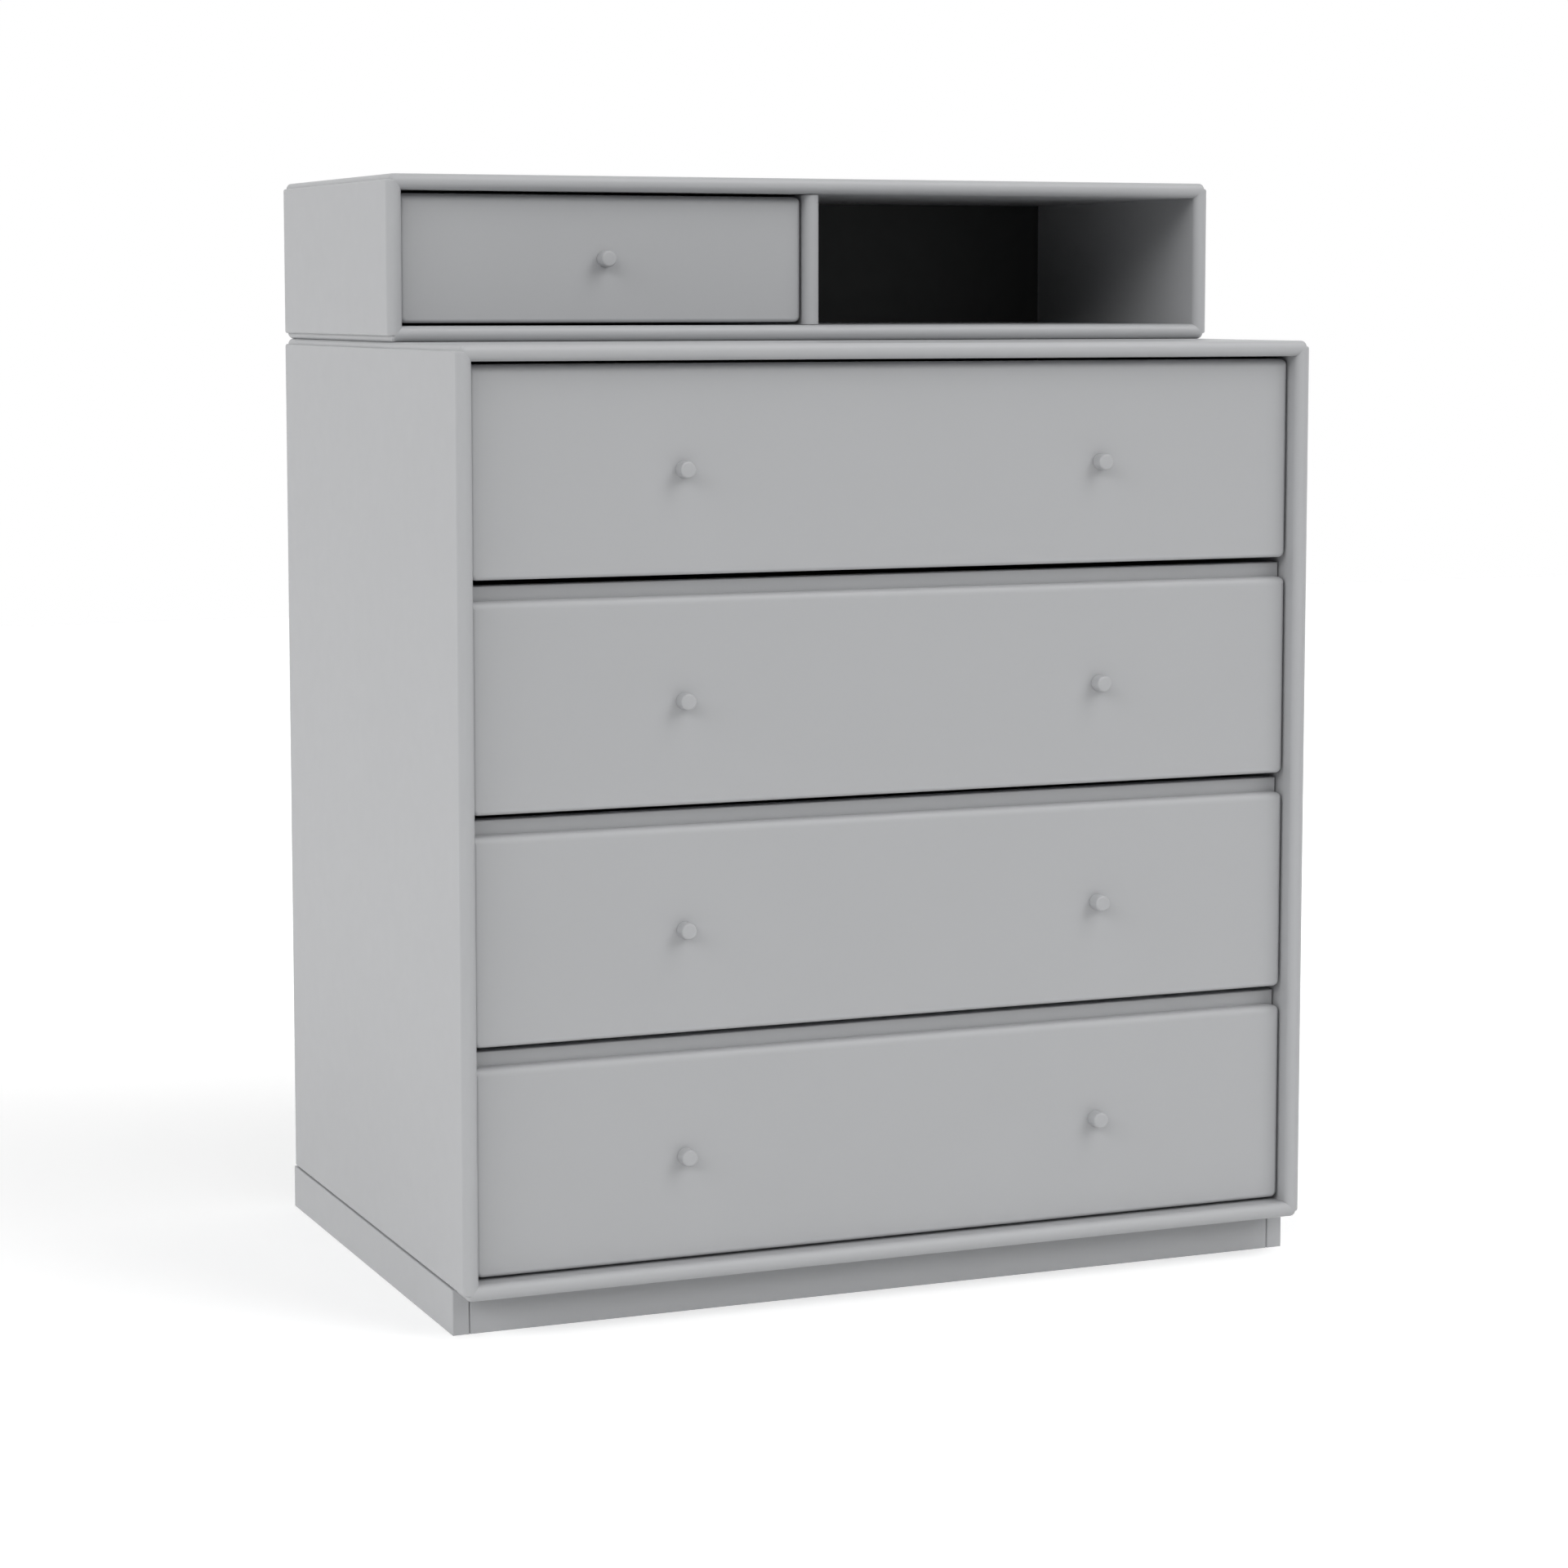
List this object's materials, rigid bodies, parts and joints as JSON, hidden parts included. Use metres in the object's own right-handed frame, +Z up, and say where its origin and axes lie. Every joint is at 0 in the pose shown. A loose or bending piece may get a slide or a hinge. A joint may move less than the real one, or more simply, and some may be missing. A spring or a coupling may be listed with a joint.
{
  "type": "chest on chest",
  "caption": "Chest of full-width drawers on a recessed plinth, with a shallower module on top that holds one drawer and an open compartment.",
  "frame": {"origin": "on the floor, midway between the sides and midway between the lower front edge and the back", "axes": "+Z up; the drawers open towards -Y, the front; +X is to the right as seen from the front"},
  "size_m": [0.696, 0.468, 0.852],
  "materials": {
    "carcass_lacquer": "satin grey lacquer on fibreboard",
    "plinth_lacquer": "satin grey lacquer on fibreboard",
    "knob_lacquer": "satin grey lacquer on turned wood",
    "drawer_box": "grey foil on board",
    "back_board": "near-black foil on board",
    "runner_steel": "zinc plated steel sheet"
  },
  "bodies": {
    "root": {"lower_back_panel": "back_board", "lower_bottom_board": "carcass_lacquer", "lower_cabinet_runners": "runner_steel", "lower_left_side": "carcass_lacquer", "lower_right_side": "carcass_lacquer", "lower_top_board": "carcass_lacquer", "plinth_front_rail": "plinth_lacquer", "plinth_left_rail": "plinth_lacquer", "plinth_rear_rail": "plinth_lacquer", "plinth_right_rail": "plinth_lacquer", "upper_back_panel": "back_board", "upper_bottom_board": "carcass_lacquer", "upper_cabinet_runners": "runner_steel", "upper_left_side": "carcass_lacquer", "upper_partition": "carcass_lacquer", "upper_right_side": "carcass_lacquer", "upper_top_board": "carcass_lacquer"},
    "drawer_1": {"drawer_1_front": "carcass_lacquer", "drawer_1_box_front": "carcass_lacquer", "drawer_1_box_sides": "drawer_box", "drawer_1_box_back": "drawer_box", "drawer_1_box_bottom": "drawer_box", "drawer_1_knobs": "knob_lacquer", "drawer_1_runner_inner": "runner_steel"},
    "drawer_1_slides": {"drawer_1_runner_middle": "runner_steel"},
    "drawer_2": {"drawer_2_front": "carcass_lacquer", "drawer_2_box_front": "carcass_lacquer", "drawer_2_box_sides": "drawer_box", "drawer_2_box_back": "drawer_box", "drawer_2_box_bottom": "drawer_box", "drawer_2_knobs": "knob_lacquer", "drawer_2_runner_inner": "runner_steel"},
    "drawer_2_slides": {"drawer_2_runner_middle": "runner_steel"},
    "drawer_3": {"drawer_3_front": "carcass_lacquer", "drawer_3_box_front": "carcass_lacquer", "drawer_3_box_sides": "drawer_box", "drawer_3_box_back": "drawer_box", "drawer_3_box_bottom": "drawer_box", "drawer_3_knobs": "knob_lacquer", "drawer_3_runner_inner": "runner_steel"},
    "drawer_3_slides": {"drawer_3_runner_middle": "runner_steel"},
    "drawer_4": {"drawer_4_front": "carcass_lacquer", "drawer_4_box_front": "carcass_lacquer", "drawer_4_box_sides": "drawer_box", "drawer_4_box_back": "drawer_box", "drawer_4_box_bottom": "drawer_box", "drawer_4_knobs": "knob_lacquer", "drawer_4_runner_inner": "runner_steel"},
    "drawer_4_slides": {"drawer_4_runner_middle": "runner_steel"},
    "upper_drawer": {"upper_drawer_front": "carcass_lacquer", "upper_drawer_box_front": "carcass_lacquer", "upper_drawer_box_sides": "drawer_box", "upper_drawer_box_back": "drawer_box", "upper_drawer_box_bottom": "drawer_box", "upper_drawer_knobs": "knob_lacquer", "upper_drawer_runner_inner": "runner_steel"},
    "upper_drawer_slides": {"upper_drawer_runner_middle": "runner_steel"}
  },
  "joints": [
    {"name": "drawer_1_slide", "type": "slide", "parent": "root", "child": "drawer_1", "axis": [0, -1, 0], "range_m": [0, 0.38]},
    {"name": "drawer_1_runner_slide", "type": "slide", "parent": "root", "child": "drawer_1_slides", "axis": [0, -1, 0], "range_m": [0, 0.19]},
    {"name": "drawer_2_slide", "type": "slide", "parent": "root", "child": "drawer_2", "axis": [0, -1, 0], "range_m": [0, 0.38]},
    {"name": "drawer_2_runner_slide", "type": "slide", "parent": "root", "child": "drawer_2_slides", "axis": [0, -1, 0], "range_m": [0, 0.19]},
    {"name": "drawer_3_slide", "type": "slide", "parent": "root", "child": "drawer_3", "axis": [0, -1, 0], "range_m": [0, 0.38]},
    {"name": "drawer_3_runner_slide", "type": "slide", "parent": "root", "child": "drawer_3_slides", "axis": [0, -1, 0], "range_m": [0, 0.19]},
    {"name": "drawer_4_slide", "type": "slide", "parent": "root", "child": "drawer_4", "axis": [0, -1, 0], "range_m": [0, 0.38]},
    {"name": "drawer_4_runner_slide", "type": "slide", "parent": "root", "child": "drawer_4_slides", "axis": [0, -1, 0], "range_m": [0, 0.19]},
    {"name": "upper_drawer_slide", "type": "slide", "parent": "root", "child": "upper_drawer", "axis": [0, -1, 0], "range_m": [0, 0.21]},
    {"name": "upper_drawer_runner_slide", "type": "slide", "parent": "root", "child": "upper_drawer_slides", "axis": [0, -1, 0], "range_m": [0, 0.105]}
  ],
  "couplings": [
    {"joint": "drawer_1_runner_slide", "follows": "drawer_1_slide", "ratio": 0.5},
    {"joint": "drawer_2_runner_slide", "follows": "drawer_2_slide", "ratio": 0.5},
    {"joint": "drawer_3_runner_slide", "follows": "drawer_3_slide", "ratio": 0.5},
    {"joint": "drawer_4_runner_slide", "follows": "drawer_4_slide", "ratio": 0.5},
    {"joint": "upper_drawer_runner_slide", "follows": "upper_drawer_slide", "ratio": 0.5}
  ]
}
